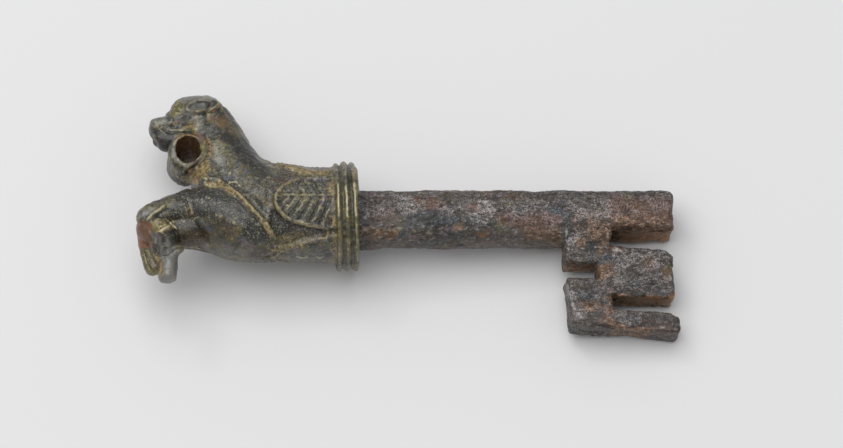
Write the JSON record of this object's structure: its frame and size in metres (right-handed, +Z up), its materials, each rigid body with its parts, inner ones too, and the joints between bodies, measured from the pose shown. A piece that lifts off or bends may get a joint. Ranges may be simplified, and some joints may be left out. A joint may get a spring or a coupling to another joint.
{
  "type": "key with a cast figural handle",
  "caption": "Large slide key: a square iron bar with a slotted toothed bit, set in a cast bronze handle shaped as the forepart of a leaping hound in a leaf calyx, with a hanging eye.",
  "frame": {"origin": "centre of the key's bounding box, on the surface that the key lies on", "axes": "+X along the key towards the end of the bar, +Y towards the hound's head and away from the bit's teeth, +Z up from the surface"},
  "size_m": [0.1182, 0.058, 0.0242],
  "materials": {
    "bronze": "cast bronze under a dark grey-green patina, worn to dull gold on its ridges",
    "iron": "corroded wrought iron, dark lilac brown with rough pits and orange rust spots",
    "lead": null
  },
  "bodies": {
    "root": {"handle": "bronze", "shank": "iron", "bit": "iron", "lead_bedding": "lead"}
  },
  "joints": []
}
